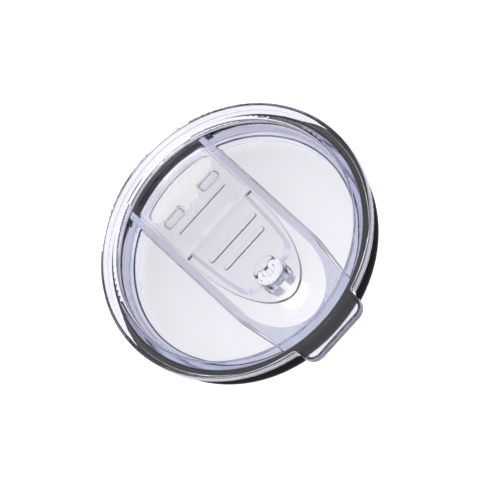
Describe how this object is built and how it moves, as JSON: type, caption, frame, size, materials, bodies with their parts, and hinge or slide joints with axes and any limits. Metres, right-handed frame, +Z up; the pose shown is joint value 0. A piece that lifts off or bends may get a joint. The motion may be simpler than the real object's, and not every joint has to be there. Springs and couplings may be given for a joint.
{
  "type": "tumbler lid",
  "caption": "Clear press-in tumbler lid with a slider that covers the drinking opening, a thumb tab and a black sealing ring.",
  "frame": {"origin": "on the lid's axis, in the plane where the flange rests on the cup's lip", "axes": "+Z up out of the cup along the lid's axis; -Y towards the thumb tab, +Y towards the drinking side; X across"},
  "size_m": [0.088, 0.0932, 0.0163],
  "materials": {
    "clear_body": "polished, clear",
    "clear_slider": "polished, clear",
    "black_silicone": "soft satin"
  },
  "bodies": {
    "lid": {"lid_body": "clear_body", "gasket": "black_silicone"},
    "slider": {"slider": "clear_slider"}
  },
  "joints": [
    {"name": "slider_slide", "type": "slide", "parent": "lid", "child": "slider", "axis": [0, -1, 0], "range_m": [0, 0.009]}
  ]
}
